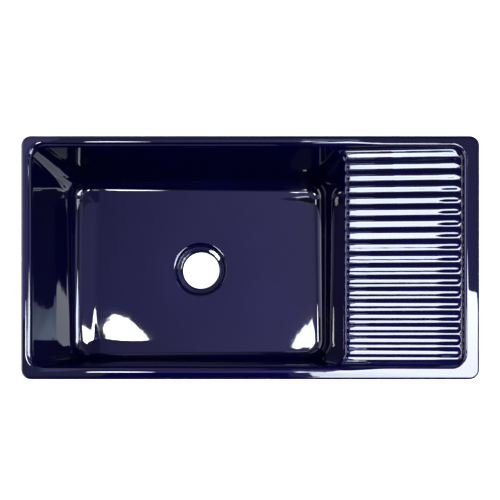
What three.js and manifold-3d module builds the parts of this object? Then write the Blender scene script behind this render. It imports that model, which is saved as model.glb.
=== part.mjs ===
// Apron-front kitchen sink with an integral fluted drainboard, glazed fireclay.
// Millimetres, +Z up. The origin is the middle of the underside, on the surface it stands on;
// +X runs towards the drainboard end and -Y is the apron.
import * as THREE from 'three';
import { mergeVertices } from 'three/addons/utils/BufferGeometryUtils.js';
import Module from 'manifold-3d';

const wasm = await Module();
wasm.setup();

// outside of the casting
const length = 914;
const depth = 486;
const height = 254;
const outerCorner = 20; // plan radius of the four vertical corners
const rimOuterRound = 6;
const baseRound = 4;

// basin: one opening that the bowl and the tray share below the rim
const bowlEndWall = 21; // rim width at each side
const boardEndWall = 30;
const frontWall = 26;
const rearWall = 21;
const innerCorner = 26; // plan radius at the top of the basin
const rimInnerRound = 6;

// bowl
const spillX = 193; // bowl side of the spill edge
const floorTop = 29; // at the outlet
const floorFall = 7; // from the foot of the walls to the outlet
const wallDraft = 3; // how far a bowl wall leans in from top to bottom
const spillDraft = 10; // the same for the wall below the spill edge
const floorFillet = 18;
const footCorner = 50; // plan radius of the bowl at the foot of its walls

// fluted drainboard
const flutePitch = 23.9; // where fluteMiddle is
const fluteMiddle = 2.6; // behind the middle of the basin
const pitchChange = 0.0021; // half of the share by which each pitch is below the one in front
const ridgeCount = 17;
const fluteDepth = 3.2;
const boardLow = 230; // groove level at the spill edge
const boardHigh = 240; // groove level at the far end
const ridgeNose = 13; // length of the rounded end of a ridge
const spillRound = 9;
const rollLift = 0.3;
const trayFillet = 6;
const trayDraft = 2;
const trayInset = 0.5; // the tray is this much narrower than the bowl on each side

// hollow below the drainboard
const hollowLeft = 222;
const hollowWall = 22;
const boardThickness = 22;
const hollowFillet = 12;
const hollowCorner = 15;
const webThickness = 18;
const webSpacing = 150; // between the middles of the two webs

// waste outlet, in the middle of the bowl
const outletX = -124;
const outletY = 5;
const outletRadius = 46;
const seatRadius = 58;
const seatDrop = 8; // the ledge lies this far below the floor
const seatRound = 7;
const boreRound = 3;
const seatRingRadius = 75;

const gap = 0.3; // slip joint between two members
const arcSteps = 5;
const cornerSteps = 7;
const roundSteps = 56;
const stepsPerFlute = 8;
const outside = 30; // how far cutters reach past the casting

const fireclay = { color: 0x1d1c52, roughness: 0.08, metalness: 0 };
const halfLength = length / 2;
const halfDepth = depth / 2;
const basinLeft = -halfLength + bowlEndWall;
const basinRight = halfLength - boardEndWall;
const basinMiddle = (frontWall - rearWall) / 2;
const basinY = halfDepth - (frontWall + rearWall) / 2; // from the middle of the basin
const trayY = basinY - trayInset;
const trayStart = spillX - 3 * innerCorner; // inside the bowl
const footInset = wallDraft + floorFillet; // from the top edge of a bowl wall to its foot
const jointFront = basinMiddle - basinY + footInset;
const jointRear = basinMiddle + basinY - footInset;
const jointLeft = basinLeft + footInset;
const jointRight = spillX - spillDraft - floorFillet;
const boardEnd = basinRight - trayDraft - trayFillet;
const fall = (boardHigh - boardLow) / (boardEnd - spillX);

// ---- closed meshes ----

// A quarter turn in even steps, as angles.
function quarter(steps) {
  return Array.from({ length: steps + 1 }, (_, step) => (step * Math.PI) / 2 / steps);
}

// Outline of a rectangle with round corners, anticlockwise, the same number of points at any size.
function roundedOutline(x0, x1, y0, y1, radius) {
  const corners = [
    [x1 - radius, y1 - radius, 0],
    [x0 + radius, y1 - radius, 1],
    [x0 + radius, y0 + radius, 2],
    [x1 - radius, y0 + radius, 3],
  ];
  return corners.flatMap(([cx, cy, turn]) =>
    quarter(cornerSteps).map((angle) => {
      const a = angle + (turn * Math.PI) / 2;
      return new THREE.Vector2(cx + radius * Math.cos(a), cy + radius * Math.sin(a));
    }),
  );
}

function geometryFrom(points, faces) {
  const geometry = new THREE.BufferGeometry();
  geometry.setAttribute('position', new THREE.Float32BufferAttribute(points.flat(), 3));
  geometry.setIndex(faces.flat());
  return geometry;
}

// Skin over rings of equal length that climb from the first to the last, with a flat cap at each end.
function loft(rings) {
  const count = rings[0].length;
  const points = rings.flat();
  const faces = [];
  for (let level = 0; level < rings.length - 1; level += 1) {
    for (let k = 0; k < count; k += 1) {
      const a = level * count + k;
      const b = level * count + ((k + 1) % count);
      faces.push([a, b, b + count], [a, b + count, a + count]);
    }
  }
  const top = (rings.length - 1) * count;
  for (let k = 1; k < count - 1; k += 1) {
    faces.push([0, k + 1, k], [top, top + k, top + k + 1]);
  }
  return geometryFrom(points, faces);
}

// Block above a surface z = surface(x, y), up to a flat top, on a grid of stations.
function blockAbove(xs, ys, surface, top) {
  const count = ys.length;
  const size = xs.length * count;
  const lower = xs.flatMap((x) => ys.map((y) => [x, y, surface(x, y)]));
  const upper = xs.flatMap((x) => ys.map((y) => [x, y, top]));
  const faces = [];
  for (let i = 0; i < xs.length - 1; i += 1) {
    for (let j = 0; j < count - 1; j += 1) {
      const a = i * count + j;
      const b = a + count;
      faces.push([a, a + 1, b + 1], [a, b + 1, b]);
      faces.push([size + a, size + b, size + b + 1], [size + a, size + b + 1, size + a + 1]);
    }
  }
  const edge = [];
  for (let i = 0; i < xs.length - 1; i += 1) edge.push(i * count);
  for (let j = 0; j < count - 1; j += 1) edge.push((xs.length - 1) * count + j);
  for (let i = xs.length - 1; i > 0; i -= 1) edge.push(i * count + count - 1);
  for (let j = count - 1; j > 0; j -= 1) edge.push(j);
  edge.forEach((a, k) => {
    const b = edge[(k + 1) % edge.length];
    faces.push([a, b, size + b], [a, size + b, size + a]);
  });
  return geometryFrom([...lower, ...upper], faces);
}

function toSolid(geometry) {
  geometry.deleteAttribute('normal');
  geometry.deleteAttribute('uv');
  const merged = mergeVertices(geometry, 1e-4);
  return new wasm.Manifold(
    new wasm.Mesh({
      numProp: 3,
      vertProperties: new Float32Array(merged.attributes.position.array),
      triVerts: new Uint32Array(merged.index.array),
    }),
  );
}

function box(x0, x1, y0, y1, z0, z1) {
  const geometry = new THREE.BoxGeometry(x1 - x0, y1 - y0, z1 - z0);
  geometry.translate((x0 + x1) / 2, (y0 + y1) / 2, (z0 + z1) / 2);
  return toSolid(geometry);
}

// Round bar about the outlet's axis.
function outletBar(radius, z0, z1) {
  const geometry = new THREE.CylinderGeometry(radius, radius, z1 - z0, roundSteps);
  geometry.rotateX(Math.PI / 2);
  geometry.translate(outletX, outletY, (z0 + z1) / 2);
  return toSolid(geometry);
}

// ---- the casting as one form; the rooms are made about the middle of the basin ----

// Block with round corners, a softened foot and a rounded rim edge.
function castingBlock() {
  const levels = [
    ...quarter(arcSteps).map((a) => [baseRound * (1 - Math.sin(a)), baseRound * (1 - Math.cos(a))]),
    ...quarter(arcSteps).map((a) => [
      rimOuterRound * (1 - Math.cos(a)),
      height - rimOuterRound * (1 - Math.sin(a)),
    ]),
  ];
  const rings = levels.map(([inset, z]) => {
    const x = halfLength - inset;
    const y = halfDepth - inset;
    return roundedOutline(-x, x, -y, y, outerCorner - inset).map((p) => [p.x, p.y, z]);
  });
  return toSolid(loft(rings));
}

// Rounded top edge of an opening, from the wall up to the rim and on past it: [outset, z].
function rimLevels() {
  return [
    ...quarter(arcSteps).map((a) => [
      rimInnerRound * (1 - Math.cos(a)),
      height - rimInnerRound * (1 - Math.sin(a)),
    ]),
    [rimInnerRound, height + outside],
  ];
}

// Room inside the bowl: a floor that falls to the outlet, a fillet round it, leaning walls and the
// rounded rim edge. Each level is [outset, z, corner radius, end at the spill edge].
function bowlRoom() {
  const foot = quarter(arcSteps).map((a) => {
    const inset = floorFillet * (1 - Math.sin(a));
    const z = floorTop + floorFall + floorFillet * (1 - Math.cos(a));
    return [-wallDraft - inset, z, footCorner - inset, spillX - spillDraft - inset];
  });
  const rim = rimLevels().map(([outset, z]) => [outset, z, innerCorner + outset, spillX + outset]);
  const rings = [...foot, ...rim].map(([outset, z, radius, end]) =>
    roundedOutline(basinLeft - outset, end, -basinY - outset, basinY + outset, radius).map((p) => [
      p.x,
      p.y,
      z,
    ]),
  );
  const reach = seatRingRadius + 2 * gap;
  const seatY = outletY - basinMiddle;
  const seat = roundedOutline(
    outletX - reach,
    outletX + reach,
    seatY - reach,
    seatY + reach,
    reach - gap,
  ).map((p) => [p.x, p.y, floorTop]);
  return toSolid(loft([seat, ...rings]));
}

// Distance to the wall at the foot of the tray, negative inside.
function trayWallDistance(x, y) {
  const radius = innerCorner - trayDraft;
  const dx = x - (basinRight - trayDraft - radius);
  const dy = Math.abs(y) - (trayY - trayDraft - radius);
  const past = Math.hypot(Math.max(dx, 0), Math.max(dy, 0));
  return past + Math.min(Math.max(dx, dy), 0) - radius;
}

// Ridges between the middle one and y. They stand a little closer towards the rear.
function ridgesTo(y) {
  const even = (y - fluteMiddle) / flutePitch;
  return even + pitchChange * even * even;
}

// The place of a ridge, or of a part of one, by its count from the middle one.
function ridgePlace(ridges) {
  const even = (Math.sqrt(1 + 4 * pitchChange * ridges) - 1) / (2 * pitchChange);
  return fluteMiddle + flutePitch * even;
}

// Fluted board: cosine ridges along X on a board that falls towards the bowl. A ridge ends in a
// round nose, and the side walls rise from a fillet.
function boardSurface(x, y) {
  const nose = THREE.MathUtils.clamp((x - (boardEnd - ridgeNose)) / ridgeNose, 0, 1);
  const ridges = ridgesTo(y);
  const fluted = Math.abs(ridges) < ridgeCount / 2;
  const wave = fluted ? 0.5 + 0.5 * Math.cos(2 * Math.PI * ridges) : 0;
  const ridge = fluteDepth * wave * Math.sqrt(1 - nose * nose);
  const reach = THREE.MathUtils.clamp(trayWallDistance(x, y) + trayFillet, 0, trayFillet);
  const rise = trayFillet - Math.sqrt(trayFillet ** 2 - reach ** 2);
  return boardLow + fall * (x - spillX) + ridge + rise;
}

// Walls of the tray as a tall prism that runs on over the bowl.
function trayWalls() {
  const rings = [[-trayDraft, boardLow - outside], ...rimLevels()].map(([outset, z]) =>
    roundedOutline(
      trayStart,
      basinRight + outset,
      -trayY - outset,
      trayY + outset,
      innerCorner + outset,
    ).map((p) => [p.x, p.y, z]),
  );
  return toSolid(loft(rings));
}

// Scalloped spill edge: the fluted section rolls over into the bowl, square to the bowl's outline,
// round both corners of the bowl as well. A little lift lets it meet the board at an angle.
function spillRoll(flutes) {
  const cornerX = spillX - innerCorner;
  const cornerY = basinY - innerCorner;
  const turns = quarter(cornerSteps);
  const outlineAt = (outset) => {
    const reach = innerCorner + outset;
    const front = turns.map((a) => [cornerX + reach * Math.sin(a), -cornerY - reach * Math.cos(a)]);
    const rear = front.map(([x, y]) => [x, -y]).reverse();
    const side = flutes.filter((y) => Math.abs(y) < cornerY).map((y) => [spillX + outset, y]);
    const end = [
      [trayStart, basinY + outset],
      [trayStart, -basinY - outset],
    ];
    return [...front, ...side, ...rear, ...end];
  };
  const levels = [
    [-wallDraft, -2 * spillRound],
    ...quarter(arcSteps).map((a) => [
      spillRound * (1 - Math.cos(a)),
      rollLift - spillRound * (1 - Math.sin(a)),
    ]),
  ];
  const rings = levels.map(([outset, drop]) =>
    outlineAt(outset).map(([x, y]) => [x, y, boardSurface(x, y) + drop]),
  );
  rings.push(outlineAt(spillRound).map(([x, y]) => [x, y, height + outside]));
  return toSolid(loft(rings));
}

// Room above the drainboard.
function trayRoom() {
  const arcs = quarter(arcSteps);
  const xs = [
    trayStart - innerCorner,
    spillX,
    boardEnd - ridgeNose,
    ...arcs.slice(1).map((a) => boardEnd - ridgeNose * (1 - Math.sin(a))),
    ...arcs.slice(1).map((a) => boardEnd + trayFillet * Math.sin(a)),
    basinRight + outside,
  ];
  const fluteSteps = ridgeCount * stepsPerFlute;
  const flutes = Array.from({ length: fluteSteps + 1 }, (_, k) =>
    ridgePlace((k / fluteSteps - 0.5) * ridgeCount),
  );
  const side = [
    ...arcs.map((a) => trayY - trayDraft - trayFillet * (1 - Math.sin(a))),
    basinY + outside,
  ];
  const ys = [...side.map((y) => -y).reverse(), ...flutes, ...side];
  const overBoard = toSolid(blockAbove(xs, ys, boardSurface, height + outside));
  return trayWalls().intersect(overBoard.add(spillRoll(flutes)));
}

// Hollow under the drainboard, open at the base, its ceiling parallel to the board.
function boardHollow(clearance) {
  const levels = [
    [0, -outside],
    [0, boardLow - boardThickness - hollowFillet],
    ...quarter(arcSteps)
      .slice(1)
      .map((a) => [
        hollowFillet * (1 - Math.cos(a)),
        boardLow - boardThickness - hollowFillet * (1 - Math.sin(a)),
      ]),
  ];
  const rings = levels.map(([inset, z], level) => {
    const step = inset + clearance;
    return roundedOutline(
      hollowLeft + step,
      halfLength - hollowWall - step,
      -halfDepth + hollowWall + step,
      halfDepth - hollowWall - step,
      hollowCorner - inset,
    ).map((p) => [p.x, p.y, z - clearance + (level > 0 ? fall * (p.x - spillX) : 0)]);
  });
  return toSolid(loft(rings));
}

const basin = bowlRoom().add(trayRoom()).translate([0, basinMiddle, 0]);
const casting = castingBlock().subtract(basin).subtract(boardHollow(0));

// ---- the members of the casting ----

const group = new THREE.Group();

function addMember(name, solid) {
  const data = solid.getMesh();
  const geometry = new THREE.BufferGeometry();
  geometry.setAttribute('position', new THREE.BufferAttribute(data.vertProperties, 3));
  geometry.setIndex(new THREE.BufferAttribute(data.triVerts, 1));
  geometry.computeVertexNormals();
  const mesh = new THREE.Mesh(geometry, new THREE.MeshStandardMaterial(fireclay));
  mesh.name = name;
  group.add(mesh);
}

// Part of the casting inside a box, less half a joint on each face that meets a neighbour.
function memberIn(x0, x1, y0, y1, z0, z1) {
  const half = gap / 2;
  return casting.intersect(box(x0 + half, x1 - half, y0 + half, y1 - half, z0 + half, z1 - half));
}

const farX = halfLength + outside;
const farY = halfDepth + outside;
const farZ = height + outside;
const boardJointZ = boardLow - boardThickness - gap;
const dividerEnd = hollowLeft + hollowFillet + 1;

addMember('front_apron_wall', memberIn(-farX, farX, -farY, jointFront, -outside, farZ));
addMember('rear_wall', memberIn(-farX, farX, jointRear, farY, -outside, farZ));

// Member between the front and the rear wall.
function memberAcross(name, x0, x1, z0, z1) {
  addMember(name, memberIn(x0, x1, jointFront, jointRear, z0, z1));
}

memberAcross('bowl_end_wall', -farX, jointLeft, -outside, farZ);
memberAcross('drainboard_end_wall', boardEnd, farX, -outside, farZ);
memberAcross('dividing_wall', jointRight, dividerEnd, -outside, boardJointZ);
memberAcross('fluted_drainboard', jointRight, boardEnd, boardJointZ, farZ);
addMember(
  'bowl_floor',
  memberIn(jointLeft, jointRight, jointFront, jointRear, -outside, farZ).subtract(
    outletBar(seatRingRadius + gap, -outside, farZ),
  ),
);

// Ring round the outlet: a bore, a flat ledge for the waste flange and a lip rounded to the floor.
function outletSeat() {
  const ledge = floorTop - seatDrop;
  const arcs = quarter(arcSteps);
  const lip = arcs.map((a) => [
    seatRadius + seatRound * (1 - Math.sin(a)),
    floorTop - seatRound * (1 - Math.cos(a)),
  ]);
  const bore = arcs.map((a) => [
    outletRadius + boreRound * (1 - Math.sin(a)),
    ledge - boreRound * (1 - Math.cos(a)),
  ]);
  const profile = [
    [outletRadius, 0],
    [seatRingRadius, 0],
    [seatRingRadius, floorTop],
    ...lip,
    [seatRadius, ledge],
    ...bore,
    [outletRadius, 0],
  ].map(([r, z]) => new THREE.Vector2(r, z));
  const geometry = new THREE.LatheGeometry(profile, roundSteps);
  geometry.rotateX(Math.PI / 2);
  geometry.translate(outletX, outletY, 0);
  return toSolid(geometry);
}

addMember('outlet_seat_ring', outletSeat());

// Webs that carry the board, across the hollow from the dividing wall to the end wall.
for (const [name, side] of [['front', -1], ['rear', 1]]) {
  const middle = (side * webSpacing) / 2;
  const slab = box(0, halfLength, middle - webThickness / 2, middle + webThickness / 2, 0, height);
  addMember(`board_web_${name}`, boardHollow(gap).intersect(slab));
}

export default group;
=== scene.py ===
from math import pi

import bpy
import numpy as np
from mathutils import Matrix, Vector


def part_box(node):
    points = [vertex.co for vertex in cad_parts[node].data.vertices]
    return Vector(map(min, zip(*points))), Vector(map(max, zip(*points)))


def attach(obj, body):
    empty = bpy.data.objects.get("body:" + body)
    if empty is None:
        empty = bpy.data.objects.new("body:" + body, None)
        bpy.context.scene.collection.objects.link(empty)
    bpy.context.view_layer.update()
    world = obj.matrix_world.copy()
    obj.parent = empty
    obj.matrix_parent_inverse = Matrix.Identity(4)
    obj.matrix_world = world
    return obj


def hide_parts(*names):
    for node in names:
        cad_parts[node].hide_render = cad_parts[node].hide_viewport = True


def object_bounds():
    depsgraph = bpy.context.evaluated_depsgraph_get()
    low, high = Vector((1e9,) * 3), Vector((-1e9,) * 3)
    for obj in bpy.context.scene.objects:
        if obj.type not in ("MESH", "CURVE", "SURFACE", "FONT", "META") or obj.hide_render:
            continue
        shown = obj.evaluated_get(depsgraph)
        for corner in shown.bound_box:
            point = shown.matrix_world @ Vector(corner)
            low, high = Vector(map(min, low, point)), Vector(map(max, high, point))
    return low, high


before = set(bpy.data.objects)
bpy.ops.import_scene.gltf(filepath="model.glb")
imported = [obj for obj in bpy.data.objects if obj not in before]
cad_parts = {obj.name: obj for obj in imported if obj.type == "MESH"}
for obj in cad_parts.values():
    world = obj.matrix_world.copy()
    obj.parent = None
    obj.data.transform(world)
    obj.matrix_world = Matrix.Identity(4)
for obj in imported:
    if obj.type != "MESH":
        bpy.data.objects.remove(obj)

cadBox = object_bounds()     # straight after the load: the box of the CAD model

# Glazed fireclay sink with a fluted drainboard. Shapes are worked out in millimetres and
# turned to metres when they go into a mesh. +X runs to the drainboard end, -Y is the apron.

toMetres = 0.001


def nodeBox(node):
    low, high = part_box(node)
    return np.array(low) / toMetres, np.array(high) / toMetres


# where the casting's members are, read from the frame
wholeLow, wholeHigh = np.array(cadBox[0]) / toMetres, np.array(cadBox[1]) / toMetres
seatLow, seatHigh = nodeBox("outlet_seat_ring")
webLow, _ = nodeBox("board_web_front")

casting = {
    "outerCorner": 20,        # plan radius of the four outside corners
    "rimOuterRound": 6,
    "baseRound": 4,
    "bowlEndWall": 21,        # rim widths
    "boardEndWall": 30,
    "frontWall": 26,
    "rearWall": 21,
    "innerCorner": 26,        # plan radius of the basin's corners at the rim
    "footCorner": 50,         # and at the foot of the walls
    "bowlRimRound": 11,       # inner edge of the rim along the bowl
    "trayRimRound": 6,        # and along the drainboard
    "rimRoundRun": 80,        # the one turns into the other over this length
    "boreEdge": 1.5,
    "spillX": 193,            # bowl side of the spill edge
    "trayOverlap": 78,        # the board's basin runs into the bowl's by this
    "wallDraft": 3,           # lean of a wall from top to bottom
    "spillDraft": 10,         # the same below the spill edge
    "floorFall": 7,           # from the foot of the walls to the outlet
    "footPower": 3.0,         # the higher, the sharper the floor's creases to the corners
    "footLeast": 4,           # no wall counts as nearer than this
    "floorFillet": 21,        # at the floor's foot, on average
    "filletToRear": 4.5,      # wider by this at the rear, narrower at the front
    "filletToRight": 3.5,     # wider at the right, narrower at the left
    "skirtReach": 39,         # the floor is steeper this near to the walls, on average
    "skirtToRear": 7,         # wider by this at the rear, narrower at the front
    "skirtToRight": -14,
    "skirtSlope": 0.095,
    "skirtSoftness": 3,       # over this length the one slope turns into the other
    "seatDrop": 8,            # the outlet's ledge below the floor
    "seatSlope": 0.2,         # it falls to the bore
    "outletRadius": 46,
    "seatRadius": 58,
    "seatRound": 11,
    "boreRound": 3,
    "boardLow": 230,          # groove level at the spill edge
    "boardHigh": 240,         # groove level at the far end
    "flutePitch": 23.9,       # where the middle ridge is
    "fluteMiddle": 2.6,       # behind the middle of the basin
    "pitchChange": 0.0021,    # the ridges stand a little closer towards the rear
    "ridgeCount": 17,
    "fluteDepth": 3.1,
    "crestWidening": 0.11,    # the ridges are this much broader than cosines
    "endDeepening": 1.6,      # the flutes are deeper by this at the far end
    "deepeningRun": 24,
    "deepeningStart": 372,
    "deepeningLost": 0.75,    # this share of it is lost towards the rear
    "lostStart": 90,
    "lostRun": 110,
    "ridgeNose": 13,          # rounded end of a ridge
    "endStrip": 2.5,          # from the ends of the ridges to the end wall
    "spillRound": 9,
    "spillFade": 19,          # the spill edge sharpens over this length beside a wall
    "trayFillet": 6,
    "hollowWall": 22,
    "boardThickness": 22,
    "hollowFillet": 12,
    "hollowCorner": 15,
    "hollowEdge": 1.5,
    "bareHeight": 6,          # the glaze starts to end at this height
    "bareFade": 5,            # and is gone this much lower
}
c = casting
floorTop = seatHigh[2]
rimTop = wholeHigh[2]
basinLeft = wholeLow[0] + c["bowlEndWall"]
basinRight = wholeHigh[0] - c["boardEndWall"]
basinFront = wholeLow[1] + c["frontWall"]
basinRear = wholeHigh[1] - c["rearWall"]
basinMiddle = (basinFront + basinRear) / 2
seatMiddle = (seatLow + seatHigh)[:2] / 2
seatReach = (seatHigh - seatLow)[0] / 2
bowlMiddle = (basinLeft + c["spillX"]) / 2
boardEnd = basinRight - c["endStrip"]
fall = (c["boardHigh"] - c["boardLow"]) / (boardEnd - c["spillX"])


# Signed distances, negative inside. Rounded joins are quarter circles of the given radius.
def roundJoin(a, b, radius):
    # union: the nearer surface, with a fillet where both are near
    near = np.hypot(np.maximum(radius - a, 0), np.maximum(radius - b, 0))
    return np.maximum(radius, np.minimum(a, b)) - near


def roundMeet(a, b, radius):
    # intersection: the farther surface, with a rounded edge
    return -roundJoin(-a, -b, radius)


def outline(x, y, x0, x1, y0, y1, radius):
    # rectangle with round corners: distance to its inner rectangle, less the radius
    dx = np.abs(x - (x0 + x1) / 2) - (x1 - x0) / 2 + radius
    dy = np.abs(y - (y0 + y1) / 2) - (y1 - y0) / 2 + radius
    past = np.hypot(np.maximum(dx, 0), np.maximum(dy, 0))
    return past + np.minimum(np.maximum(dx, dy), 0) - radius


def ease(t):
    # from 0 to 1 with level ends
    t = np.clip(t, 0, 1)
    return t * t * (3 - 2 * t)


def boardHeight(x, y):
    # a plane that falls to the bowl, with cosine ridges that are broader than their grooves.
    # They run on to both walls, grow deeper near the far end and end there in a round nose.
    nose = np.clip((x - boardEnd + c["ridgeNose"]) / c["ridgeNose"], 0, 1)
    even = (y - basinMiddle - c["fluteMiddle"]) / c["flutePitch"]
    ridges = even + c["pitchChange"] * even ** 2
    turn = 2 * pi * ridges
    wave = 0.5 + 0.5 * np.cos(turn - c["crestWidening"] * np.sin(turn))
    wave = np.where(np.abs(ridges) < (c["ridgeCount"] + 1) / 2, wave, 1)
    deeper = c["endDeepening"] * ease((x - c["deepeningStart"]) / c["deepeningRun"])
    deeper = deeper * (1 - c["deepeningLost"] * ease((y - c["lostStart"]) / c["lostRun"]))
    ridge = (c["fluteDepth"] + deeper) * wave * np.sqrt(1 - nose ** 2)
    return c["boardLow"] + fall * (x - c["spillX"]) - deeper / 2 + ridge


def boardUnderside(x):
    # a plane that falls as the board does
    return c["boardLow"] - c["boardThickness"] + fall * (x - c["spillX"])


def aroundFloor(x, y, average, toRear, toRight):
    # a measure that changes evenly from front to rear and from left to right
    right = np.clip((x - bowlMiddle) / (bowlMiddle - basinLeft), -1, 1)
    rear = np.clip((y - basinMiddle) / (basinRear - basinMiddle), -1, 1)
    return c[average] + c[toRear] * rear + c[toRight] * right


def fromOutlet(x, y):
    return np.hypot(x - seatMiddle[0], y - seatMiddle[1])


def floorHeight(x, y, bowl, spill):
    # an even climb from the outlet to the foot of the walls, and a steeper one near to them.
    # The way to the foot is a soft least of the ways to the four walls.
    fromSeat = np.maximum(fromOutlet(x, y) - seatReach, 0)
    away = [x - basinLeft, spill - x, y - basinFront, basinRear - y]
    power = c["footPower"]
    toFoot = sum(np.maximum(side, c["footLeast"]) ** -power for side in away) ** (-1 / power)
    climb = c["floorFall"] * fromSeat / np.maximum(fromSeat + toFoot, 1)
    near = bowl + aroundFloor(x, y, "skirtReach", "skirtToRear", "skirtToRight")
    climb = climb + c["skirtSlope"] * (near + np.hypot(near, c["skirtSoftness"])) / 2
    return floorTop + climb


def trayDistance(x, y, z, lean):
    # the room above the board. The distance square to the board is its height above the point
    # over the length of its slope.
    step = 0.5
    slopeY = (boardHeight(x, y + step) - boardHeight(x, y - step)) / (2 * step)
    above = (boardHeight(x, y) - z) / np.sqrt(1 + slopeY ** 2)
    trayStart = c["spillX"] - c["trayOverlap"]
    tray = outline(x, y, trayStart, basinRight, basinFront, basinRear, c["innerCorner"]) + lean
    return roundMeet(tray, above, c["trayFillet"])


def outletDistance(x, y, z):
    # the bore, and the wider seat above a ledge that falls to it
    r = fromOutlet(x, y)
    ledge = floorTop - c["seatDrop"] - c["seatSlope"] * (c["seatRadius"] - r)
    seat = np.maximum(r - c["seatRadius"], ledge - z)
    return roundJoin(r - c["outletRadius"], seat, c["boreRound"])


def hollowDistance(x, y, z):
    # a box below the board, open at the base
    wall = c["hollowWall"]
    hollow = outline(
        x, y, webLow[0], wholeHigh[0] - wall,
        wholeLow[1] + wall, wholeHigh[1] - wall, c["hollowCorner"],
    )
    return roundMeet(hollow, z - boardUnderside(x), c["hollowFillet"])


def castingDistance(p):
    # the block, less the basin, the bore of the outlet and the hollow below the board
    x, y, z = p
    block = outline(x, y, wholeLow[0], wholeHigh[0], wholeLow[1], wholeHigh[1], c["outerCorner"])
    block = roundMeet(block, z - rimTop, c["rimOuterRound"])
    block = roundMeet(block, -z, c["baseRound"])

    # the walls lean in evenly from the rim to the floor
    depth = np.clip((rimTop - c["trayRimRound"] - z) / (rimTop - floorTop), 0, 1)
    lean = c["wallDraft"] * depth
    spill = c["spillX"] - (c["spillDraft"] - c["wallDraft"]) * depth
    corner = c["innerCorner"] + (c["footCorner"] - c["innerCorner"]) * depth
    bowl = outline(x, y, basinLeft, spill, basinFront, basinRear, corner) + lean
    fillet = aroundFloor(x, y, "floorFillet", "filletToRear", "filletToRight")
    bowl = roundMeet(bowl, floorHeight(x, y, bowl, spill) - z, fillet)
    fade = ease((x - c["spillX"] + c["innerCorner"]) / c["spillFade"])
    basin = roundJoin(bowl, trayDistance(x, y, z, lean), c["spillRound"] * fade)
    basin = roundJoin(basin, outletDistance(x, y, z), c["seatRound"])

    onTray = ease((x - c["spillX"]) / c["rimRoundRun"])
    rimRound = c["bowlRimRound"] + (c["trayRimRound"] - c["bowlRimRound"]) * onTray
    solid = roundMeet(block, -basin, np.where(z > rimTop / 2, rimRound, c["boreEdge"]))
    return roundMeet(solid, -hollowDistance(x, y, z), c["hollowEdge"])


net = {
    "fine": 2.6,              # steps of the grid where the surface bends
    "middle": 5,
    "wide": 26,               # and where it runs straight
    "seatStep": 3.8,
    "fluteStep": 13,          # along the flutes
    "linesPerFlute": 10,      # across them
    "baseStep": 6,
    "floorStep": 2.8,
    "rimStep": 2.2,
    "beyond": 2,              # the grid goes past the block by this
    "below": 1.3,             # and below it by this
    "cornerReach": 72,        # how far the corners reach from an end and from the spill edge
    "spillMargin": 11,
    "seatMargin": 14,
    "deepeningMargin": 6,
    "fluteMargin": 0.2,       # in pitches
    "rearMargin": 6,
    "footTop": 6.5,           # height at which the round foot ends
    "floorBottom": 18,        # and at which the outlet's ledge is near
    "filletMargin": 20,
    "wallTop": 40,            # the straight stretch of the walls ends this far below the board
    "boardMargin": 12,
    "slopeReach": 0.05,       # half of the length over which a slope is taken
    "bendReach": 3.0,         # and a bend
    "leastSlope": 0.05,       # squared: a flatter one counts as this
    "longestMove": 4,         # of a vertex in one step
    "evenShare": 0.5,         # of the way to the mean of the neighbours
}


def stations(*runs):
    # grid lines from runs of (start, end, greatest step)
    lines = [np.linspace(a, b, max(int(np.ceil((b - a) / step)), 1) + 1) for a, b, step in runs]
    return np.unique(np.round(np.concatenate(lines), 4))


def window(parts):
    # index of a block of the grid: a slice for each axis given, the whole of the others
    return tuple(parts.get(axis, slice(None)) for axis in range(3))


def surfaceNet(xs, ys, zs, distance):
    # one vertex in every cell that the surface crosses, at the mean of the crossings on the
    # cell's edges, and one face round every grid edge that it crosses
    grid = np.stack(np.meshgrid(xs, ys, zs, indexing="ij"))
    value = distance(grid)
    cells = tuple(n - 1 for n in value.shape)
    total = np.zeros((3,) + cells)
    count = np.zeros(cells)
    crossings = []
    for axis in range(3):
        a, b = window({axis: slice(0, -1)}), window({axis: slice(1, None)})
        startsInside = value[a] < 0
        crossed = startsInside != (value[b] < 0)
        crossings.append((crossed, startsInside))
        share = np.where(crossed, value[a] / (value[a] - value[b] + 1e-12), 0)
        point = grid[(..., *a)] * (1 - share) + grid[(..., *b)] * share
        point = np.where(crossed, point, 0)
        u, v = [k for k in range(3) if k != axis]
        for du, dv in ((0, 0), (0, 1), (1, 0), (1, 1)):
            part = window({u: slice(du, cells[u] + du), v: slice(dv, cells[v] + dv)})
            total += point[(..., *part)]
            count += crossed[part]
    used = count > 0
    index = np.full(cells, -1)
    index[used] = np.arange(used.sum())
    faces = []
    for axis, (crossed, startsInside) in enumerate(crossings):
        u, v = [k for k in range(3) if k != axis]
        if axis == 1:
            u, v = v, u       # so that faces turn the same way about all three axes
        inner = window({u: slice(1, cells[u]), v: slice(1, cells[v])})
        corners = [
            index[window({u: slice(du, cells[u] - 1 + du), v: slice(dv, cells[v] - 1 + dv)})]
            for du, dv in ((0, 0), (1, 0), (1, 1), (0, 1))
        ]
        quads = np.stack(corners, axis=-1)[crossed[inner]]
        inside = startsInside[inner][crossed[inner]]
        faces.append(np.where(inside[:, None], quads, quads[:, ::-1]))
    return total[:, used] / count[used], np.concatenate(faces)


def slopes(distance, p, reach):
    # value, gradient and Laplacian of the distance by central differences
    here = distance(p)
    gradient = np.zeros_like(p)
    bend = -6 * here
    for axis in range(3):
        shift = np.zeros((3, 1))
        shift[axis] = reach
        up, down = distance(p + shift), distance(p - shift)
        gradient[axis] = (up - down) / (2 * reach)
        bend = bend + up + down
    return here, gradient, bend / reach ** 2


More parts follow.
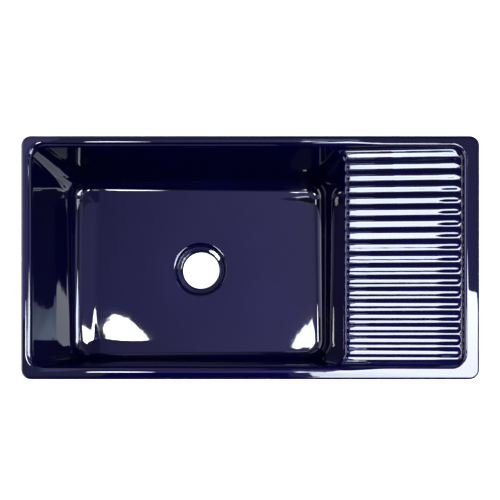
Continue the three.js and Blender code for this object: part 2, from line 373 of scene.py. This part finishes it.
def settle(distance, p, rounds):
    # Newton steps along the gradient bring every vertex onto the surface
    for _ in range(rounds):
        here, gradient, _ = slopes(distance, p, net["slopeReach"])
        size = np.maximum((gradient ** 2).sum(0), net["leastSlope"])
        move = np.clip(here / size, -net["longestMove"], net["longestMove"])
        p = p - move * gradient
    return p


def evenOut(p, faces, distance, rounds):
    # each vertex moves towards the mean of its neighbours, then back onto the surface
    edges = np.concatenate([faces[:, [k, (k + 1) % 4]] for k in range(4)])
    start, end = edges.T
    count = np.maximum(np.bincount(start, minlength=p.shape[1]), 1)
    for _ in range(rounds):
        sums = [np.bincount(start, weights=axis[end], minlength=len(axis)) for axis in p]
        p = settle(distance, p + net["evenShare"] * (np.stack(sums) / count - p), 2)
    return p


def place(name, data):
    # an object at the origin, linked to the scene
    made = bpy.data.objects.new(name, data)
    bpy.context.scene.collection.objects.link(made)
    return made


def quadMesh(name, points, faces, normals, marks):
    # a smooth mesh of four-sided faces with its own normals, and a number for each vertex
    # under every mark's name
    mesh = bpy.data.meshes.new(name)
    mesh.vertices.add(points.shape[1])
    mesh.vertices.foreach_set("co", (points.T * toMetres).astype(np.float32).ravel())
    mesh.loops.add(faces.size)
    mesh.loops.foreach_set("vertex_index", faces.astype(np.int32).ravel())
    mesh.polygons.add(len(faces))
    mesh.polygons.foreach_set("loop_start", np.arange(0, faces.size, 4, dtype=np.int32))
    mesh.update(calc_edges=True)
    mesh.validate()
    mesh.polygons.foreach_set("use_smooth", np.ones(len(mesh.polygons), dtype=bool))
    mesh.normals_split_custom_set_from_vertices(normals.T.astype(np.float32))
    for key, values in marks.items():
        layer = mesh.attributes.new(key, "FLOAT", "POINT")
        layer.data.foreach_set("value", values.astype(np.float32))
    return place(name, mesh)


def castingGrid():
    # grid lines along each axis, close together where the surface bends
    fine, middle, wide, beyond = net["fine"], net["middle"], net["wide"], net["beyond"]
    leftCorner = wholeLow[0] + net["cornerReach"]
    seat = c["seatRadius"] + c["seatRound"] + net["seatMargin"]
    seatLeft, seatRight = seatMiddle[0] - seat, seatMiddle[0] + seat
    spillLeft, spillRight = c["spillX"] - net["cornerReach"], c["spillX"] + net["spillMargin"]
    deepLeft = c["deepeningStart"] - net["deepeningMargin"]
    xs = stations(
        (wholeLow[0] - beyond, leftCorner, fine), (leftCorner, seatLeft, wide),
        (seatLeft, seatRight, net["seatStep"]), (seatRight, spillLeft, wide),
        (spillLeft, spillRight, fine), (spillRight, deepLeft, net["fluteStep"]),
        (deepLeft, wholeHigh[0] + beyond, fine),
    )
    flutes = c["flutePitch"] * (c["ridgeCount"] / 2 + net["fluteMargin"])
    fluteRear = flutes + net["rearMargin"]
    ys = stations(
        (wholeLow[1] - beyond, -flutes, fine),
        (-flutes, fluteRear, c["flutePitch"] / net["linesPerFlute"]),
        (fluteRear, wholeHigh[1] + beyond, fine),
    )
    filletTop = floorTop + c["floorFillet"] + net["filletMargin"]
    wallTop, boardBottom = c["boardLow"] - net["wallTop"], c["boardLow"] - net["boardMargin"]
    zs = stations(
        (-net["below"], net["footTop"], fine),
        (net["footTop"], net["floorBottom"], net["baseStep"]),
        (net["floorBottom"], filletTop, net["floorStep"]), (filletTop, wallTop, wide),
        (wallTop, boardBottom, middle), (boardBottom, rimTop + beyond, net["rimStep"]),
    )
    return xs, ys, zs


def bareMark(p):
    # no glaze on the foot and in the hollow: 1 there, 0 where glazed
    x, y, z = p
    past = 1
    wall = c["hollowWall"]
    inHollow = (x > webLow[0] - past) & (x < wholeHigh[0] - wall + past)
    inHollow = inHollow & (np.abs(y) < wholeHigh[1] - wall + past)
    inHollow = inHollow & (z < boardUnderside(x) + past)
    foot = np.clip((c["bareHeight"] - z) / c["bareFade"], 0, 1)
    return np.maximum(foot, inHollow)


def makeCasting():
    # the net round the casting, brought onto its surface, with the surface's own normals
    points, faces = surfaceNet(*castingGrid(), castingDistance)
    points = settle(castingDistance, points, 6)
    points = evenOut(points, faces, castingDistance, 2)
    points = settle(castingDistance, points, 4)
    _, normals, _ = slopes(castingDistance, points, net["slopeReach"])
    _, _, bend = slopes(castingDistance, points, net["bendReach"])
    normals = normals / np.maximum(np.linalg.norm(normals, axis=0), 1e-9)
    marks = {"bend": bend, "bare": bareMark(points)}
    print("casting:", points.shape[1], "vertices", len(faces), "faces")
    return quadMesh("glazedCasting", points, faces, normals, marks)


body = makeCasting()
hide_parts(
    "front_apron_wall", "rear_wall", "bowl_end_wall", "drainboard_end_wall",
    "dividing_wall", "fluted_drainboard", "bowl_floor", "outlet_seat_ring",
)
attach(body, "root")
print("casting made")


# Shader maths: a socket with the operators that the materials use.
class Wire:
    def __init__(self, tree, socket):
        self.tree, self.socket = tree, socket

    def maths(self, operation, *values):
        node = self.tree.nodes.new("ShaderNodeMath")
        node.operation = operation
        for number, value in enumerate(values):
            link(self.tree, value, node.inputs[number])
        return Wire(self.tree, node.outputs[0])

    def __add__(self, other):
        return self.maths("ADD", self, other)

    def __radd__(self, other):
        return self.maths("ADD", other, self)

    def __sub__(self, other):
        return self.maths("SUBTRACT", self, other)

    def __rsub__(self, other):
        return self.maths("SUBTRACT", other, self)

    def __mul__(self, other):
        return self.maths("MULTIPLY", self, other)

    def __rmul__(self, other):
        return self.maths("MULTIPLY", other, self)

    def clipped(self, low, high):
        # from 0 at low to 1 at high, level beyond both
        share = self.maths("DIVIDE", self - low, high - low)
        share = self.maths("MAXIMUM", share, 0.0)
        return self.maths("MINIMUM", share, 1.0)


def link(tree, value, socket):
    # a wire is linked to the socket, and any other value is set on it
    if isinstance(value, Wire):
        tree.links.new(value.socket, socket)
    else:
        socket.default_value = value


class Finish:
    # a material with its shader, and one method for any other node
    def __init__(self, name):
        self.material = bpy.data.materials.new(name)
        self.material.use_nodes = True
        self.tree = self.material.node_tree
        self.tree.nodes.clear()
        self.shader = self.tree.nodes.new("ShaderNodeBsdfPrincipled")
        output = self.tree.nodes.new("ShaderNodeOutputMaterial")
        self.tree.links.new(self.shader.outputs[0], output.inputs["Surface"])

    def fill(self, node, values):
        # sockets by their names, with _ in place of each space
        for key, value in values.items():
            link(self.tree, value, node.inputs[key.replace("_", " ")])

    def node(self, kind, settings=None, out=0, **values):
        made = self.tree.nodes.new("ShaderNode" + kind)
        for key, value in (settings or {}).items():
            setattr(made, key, value)
        self.fill(made, values)
        return Wire(self.tree, made.outputs[out])

    def set(self, **values):
        self.fill(self.shader, values)

    def mix(self, factor, a, b):
        # of a Mix node's sockets, 6 and 7 are its colours and output 2 is the mixed one
        made = self.tree.nodes.new("ShaderNodeMix")
        made.data_type = "RGBA"
        for socket, value in ((0, factor), (6, a), (7, b)):
            link(self.tree, value, made.inputs[socket])
        return Wire(self.tree, made.outputs[2])


glaze = {
    "deep": (0.0006, 0.0004, 0.0122, 1),
    "pooled": (0.0004, 0.0003, 0.0080, 1),
    "thin": (0.0014, 0.0007, 0.0240, 1),
    "roughness": 0.03,
    "ior": 1.52,
    "thinBend": (0.09, 0.20),      # curvature, one over millimetres
    "pooledBend": (0.03, 0.12),
    "cloudScale": 12.0,            # faint clouds of thinner glaze
    "cloudRange": (0.45, 0.75),
    "cloudShare": 0.35,
    "raggedScale": 60.0,           # the line where the glaze ends
    "raggedShare": 0.5,
    "edgeRange": (0.45, 0.55),
    "waves": 5.0,                  # of the fired surface, to a metre
    "waveHeight": 0.0016,
    "peel": 90.0,                  # of its orange peel
    "peelHeight": 0.00002,
}
clay = {
    "pale": (0.66, 0.60, 0.51, 1),
    "dark": (0.52, 0.46, 0.38, 1),
    "grog": (0.40, 0.34, 0.27, 1),
    "roughness": 0.85,
    "cloudScale": 9.0,
    "cloudRange": (0.35, 0.65),
    "grogScale": 420.0,
    "grogRange": (0.12, 0.22),
    "toothScale": 300.0,
    "toothHeight": 0.0003,
}


def clayColour(f, spot):
    # pale body with darker clouds and small grains of grog
    clouds = f.node("TexNoise", Vector=spot, Scale=clay["cloudScale"], Detail=4.0)
    grains = f.node("TexVoronoi", Vector=spot, Scale=clay["grogScale"])
    body = f.mix(clouds.clipped(*clay["cloudRange"]), clay["pale"], clay["dark"])
    return f.mix(1.0 - grains.clipped(*clay["grogRange"]), body, clay["grog"])


def glazeFinish():
    # a deep blue glass: a little lighter where it runs thin over sharp convex edges, darker
    # where it pools in hollows, over a bare body on the foot and in the hollow
    f = Finish("sapphireGlaze")
    spot = f.node("TexCoord", out=3)
    bend = f.node("Attribute", {"attribute_name": "bend"}, out=2)
    bare = f.node("Attribute", {"attribute_name": "bare"}, out=2)
    thin = bend.clipped(*glaze["thinBend"])
    pooled = (0.0 - bend).clipped(*glaze["pooledBend"])
    cloud = f.node("TexNoise", Vector=spot, Scale=glaze["cloudScale"], Detail=3.0)
    colour = f.mix(pooled, glaze["deep"], glaze["pooled"])
    clouds = cloud.clipped(*glaze["cloudRange"]) * glaze["cloudShare"]
    colour = f.mix(clouds, colour, glaze["thin"])
    colour = f.mix(thin, colour, glaze["thin"])
    ragged = f.node("TexNoise", Vector=spot, Scale=glaze["raggedScale"], Detail=3.0)
    edge = bare + (ragged - 0.5) * glaze["raggedShare"]
    edge = edge.clipped(*glaze["edgeRange"])
    colour = f.mix(edge, colour, clayColour(f, spot))
    roughness = glaze["roughness"] + edge * (clay["roughness"] - glaze["roughness"])
    waves = f.node("TexNoise", Vector=spot, Scale=glaze["waves"], Detail=0.0)
    peel = f.node("TexNoise", Vector=spot, Scale=glaze["peel"], Detail=0.0)
    height = waves * glaze["waveHeight"] + peel * glaze["peelHeight"]
    bump = f.node("Bump", Strength=1.0, Distance=1.0, Height=height)
    f.set(Base_Color=colour, Roughness=roughness, IOR=glaze["ior"], Normal=bump)
    return f.material


def clayFinish():
    # the same body unglazed, with a fine tooth
    f = Finish("bareFireclay")
    spot = f.node("TexCoord", out=3)
    tooth = f.node("TexNoise", Vector=spot, Scale=clay["toothScale"], Detail=2.0)
    bump = f.node("Bump", Strength=1.0, Distance=clay["toothHeight"], Height=tooth)
    f.set(Base_Color=clayColour(f, spot), Roughness=clay["roughness"], Normal=bump)
    return f.material


body.data.materials.append(glazeFinish())
bareClay = clayFinish()
for name in ("board_web_front", "board_web_rear"):
    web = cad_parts[name]
    for slot in web.material_slots:
        slot.material = bareClay
print("finishes made")


photo = {
    "size": 500,
    "nadirX": 251, "nadirY": 328,      # point straight below the lens, in pixels
    "middleX": 250.2, "middleY": 257.4,    # the middle of the sink's outline
    "scale": 0.50378,                  # pixels to a millimetre at the rim
    "lensHeight": 0.90,                # metres above the rim
    "sensor": 36,                      # millimetres
}


def makeCamera():
    # straight down; the picture's middle is reached by shifting the lens, not by tilting
    data = bpy.data.cameras.new("camera")
    data.sensor_width = photo["sensor"]
    span = photo["size"] / photo["scale"] * toMetres   # width seen at the rim
    data.lens = photo["sensor"] * photo["lensHeight"] / span
    half = photo["size"] / 2
    data.shift_x = (half - photo["nadirX"]) / photo["size"]
    data.shift_y = (photo["nadirY"] - half) / photo["size"]
    camera = place("camera", data)
    x = (photo["nadirX"] - photo["middleX"]) / photo["scale"] * toMetres
    y = (photo["middleY"] - photo["nadirY"]) / photo["scale"] * toMetres
    camera.location = (x, y, rimTop * toMetres + photo["lensHeight"])
    bpy.context.scene.camera = camera


makeCamera()


# Light cards: sheets that the camera itself doesn't see. Each is a strip between pairs of
# points in metres. Its glows are one for each pair, or one for each point of each pair, and
# the sheet goes evenly from one to the next.
white = (0.84, 0.89, 1.0)
cards = {
    # over the drainboard: low at its rear edge, rising away to the front
    "frontRightWindow": {
        "pairs": [
            ((0.31, 0.11, 0.85), (0.95, -0.08, 0.85)),
            ((0.32, -0.275, 1.28), (1.23, -0.40, 1.26)),
            ((0.27, -0.335, 1.35), (1.28, -0.454, 1.33)),
            ((0.32, -0.38, 1.38), (1.34, -0.52, 1.41)),
            ((0.345, -0.50, 1.52), (1.42, -0.61, 1.53)),
            ((0.42, -1.0, 2.12), (1.82, -1.07, 2.12)),
            ((0.57, -1.95, 3.25), (2.6, -1.95, 3.25)),
        ],
        "glows": ((28, 26), (25, 22), (18, 20), (18, 20), (23, 23), (23, 23), (28, 28)),
        "colour": white,
    },
    "leftLamp": {
        "pairs": [
            ((-0.84, 0.01, 2.0), (-0.76, 0.01, 2.0)),
            ((-0.93, -0.09, 2.0), (-0.65, -0.08, 2.0)),
            ((-0.955, -0.24, 2.0), (-0.55, -0.24, 2.0)),
            ((-0.955, -0.29, 2.0), (-0.66, -0.29, 2.0)),
        ],
        "glows": (42, 42, 42, 42), "colour": (0.97, 0.98, 1.0),
    },
    # jagged along its rear edge and brighter at the front, seen in the bowl end wall
    "rightLamp": {
        "pairs": [
            ((1.12, 0.120, 2.2), (1.12, -0.290, 2.2)),
            ((1.00, 0.110, 2.2), (1.00, -0.325, 2.2)),
            ((0.93, 0.100, 2.2), (0.93, -0.320, 2.2)),
            ((0.88, 0.065, 2.2), (0.88, -0.310, 2.2)),
            ((0.83, 0.030, 2.2), (0.83, -0.300, 2.2)),
            ((0.77, 0.055, 2.2), (0.77, -0.285, 2.2)),
            ((0.70, 0.110, 2.2), (0.70, -0.280, 2.2)),
        ],
        "glows": ((14, 22), (10, 24), (8, 26), (12, 20), (9, 27), (16, 25), (20, 22)),
        "colour": (0.75, 0.95, 1.3),
    },
    "floorRightLamp": {
        "pairs": [
            ((0.41, 0.07, 3.0), (0.43, 0.07, 3.0)),
            ((0.37, -0.15, 3.0), (0.45, -0.15, 3.0)),
            ((0.35, -0.20, 3.0), (0.60, -0.20, 3.0)),
            ((0.40, -0.335, 3.0), (0.60, -0.335, 3.0)),
        ],
        "glows": (34, 34, 34, 34), "colour": white,
    },
    # a bright edge with a dim pane before it
    "rearRightLamp": {
        "pairs": [
            ((0.20, 0.565, 1.2), (0.44, 0.565, 1.2)),
            ((0.20, 0.552, 1.2), (0.44, 0.552, 1.2)),
            ((0.20, 0.543, 1.2), (0.44, 0.543, 1.2)),
            ((0.20, 0.498, 1.2), (0.44, 0.498, 1.2)),
        ],
        "glows": (24, 24, 5, 2.5), "colour": (0.75, 0.9, 1.2),
    },
    "leftWindow": {
        "pairs": [
            ((-2.2, 1.6, 1.5), (-2.2, -1.6, 1.5)),
            ((-2.2, 1.6, 0.3), (-2.2, -1.6, 0.3)),
        ],
        "glows": (3, 7), "colour": (0.9, 0.86, 1.1),
    },
    "rearLeftWindow": {
        "pairs": [
            ((-2.2, 1.2, 1.6), (-2.2, -0.1, 1.6)),
            ((-0.95, 0.9, 1.6), (-0.95, -0.1, 1.6)),
        ],
        "glows": (2.2, 0.9), "colour": (0.8, 0.75, 1.8),
    },
    "ceiling": {
        "pairs": [
            ((-2.2, 1.9, 3.5), (2.2, 1.9, 3.5)),
            ((-2.2, -2.0, 3.5), (2.2, -2.0, 3.5)),
        ],
        "glows": (0.33, 0.33), "colour": (1, 1, 1),
    },
    # violet daylight straight overhead, fading to the left
    "skylight": {
        "pairs": [
            ((-1.5, 1.3, 3.3), (-1.5, -0.42, 3.3)),
            ((0.0, 1.3, 3.3), (0.0, -0.42, 3.3)),
            ((0.75, 1.3, 3.3), (0.75, -0.42, 3.3)),
        ],
        "glows": (0.45, 1.0, 1.15), "colour": (0.68, 0.62, 1.5),
    },
    # the room's far sides, dim
    "rearSide": {
        "pairs": [((-2.2, 2.3, 3.0), (0.1, 2.3, 3.0)), ((-2.2, 2.3, 0.7), (0.1, 2.3, 0.7))],
        "glows": ((1.1, 0.3), (1.1, 0.3)), "colour": (0.9, 0.85, 1.1),
    },
    "rightSide": {
        "pairs": [((2.7, 1.8, 2.6), (2.7, -1.9, 2.6)), ((2.7, 1.8, 0.4), (2.7, -1.9, 0.4))],
        "glows": (1.1, 0.9), "colour": (0.9, 0.85, 1.5),
    },
    "frontSide": {
        "pairs": [((-2.2, -2.8, 2.4), (0.2, -2.8, 2.4)), ((-2.2, -2.8, 0.4), (0.2, -2.8, 0.4))],
        "glows": (0.7, 0.7), "colour": (0.9, 0.85, 1.5),
    },
    # a dark sheet before the lights, seen in the front rim and in the rear wall
    "onlooker": {
        "pairs": [
            ((-0.52, -0.31, 1.3), (0.16, -0.31, 1.3)),
            ((-1.3, -0.5, 1.3), (0.23, -0.5, 1.3)),
            ((-1.3, -2.4, 1.3), (0.23, -2.4, 1.3)),
        ],
        "glows": (0, 0, 0), "colour": white,
    },
    # what the glaze reflects in place of the white floor
    "ground": {
        "pairs": [((-6, 6, -0.01), (6, 6, -0.01)), ((-6, -6, -0.01), (6, -6, -0.01))],
        "glows": (0.08, 0.08), "colour": white,
    },
}


def makeSheet(name, corners, faces, **look):
    # a flat piece of the stage with a material of its own
    mesh = bpy.data.meshes.new(name)
    mesh.from_pydata(corners, [], faces)
    f = Finish(name)
    f.set(Emission_Strength=1.0, **look)
    mesh.materials.append(f.material)
    return place(name, mesh), f


def makeCard(name, pairs, glows, colour):
    # black but for the light that it gives, which a number at each corner sets
    corners = [corner for pair in pairs for corner in pair]
    strip = [(k, k + 1, k + 3, k + 2) for k in range(0, len(corners) - 2, 2)]
    card, f = makeSheet(
        name, corners, strip, Base_Color=(0, 0, 0, 1), Roughness=1.0, Specular_IOR_Level=0.0,
    )
    shine = card.data.attributes.new("shine", "FLOAT_VECTOR", "POINT")
    each = np.broadcast_to(np.reshape(glows, (len(pairs), -1)), (len(pairs), 2)).ravel()
    shine.data.foreach_set("vector", np.outer(each, colour).ravel())
    f.set(Emission_Color=f.node("Attribute", {"attribute_name": "shine"}, out=1))
    card.visible_camera = False


for name, card in cards.items():
    makeCard(name, **card)

studio = {
    "reach": 6,                          # metres from the middle of the floor to its sides
    "floorColour": (0.5, 0.5, 0.5, 1),
    "floorGlow": (1, 1, 1, 1),           # bright enough to be seen as plain white
    "floorRoughness": 0.9,
    "world": (0.06, 0.06, 0.08, 1),
}


def makeFloor():
    # seen by the camera. The glaze reflects the card of the ground in its place.
    far = studio["reach"]
    corners = [(-far, -far, 0), (far, -far, 0), (far, far, 0), (-far, far, 0)]
    floor, _ = makeSheet(
        "floor", corners, [(0, 1, 2, 3)], Base_Color=studio["floorColour"],
        Roughness=studio["floorRoughness"], Emission_Color=studio["floorGlow"],
    )
    floor.visible_glossy = False


def makeWorld():
    world = bpy.data.worlds.new("studio")
    bpy.context.scene.world = world
    world.use_nodes = True
    background = world.node_tree.nodes["Background"]
    background.inputs["Color"].default_value = studio["world"]
    background.inputs["Strength"].default_value = 1.0


makeFloor()
makeWorld()
bpy.context.scene.view_settings.view_transform = "Standard"
print("camera, floor and light made")
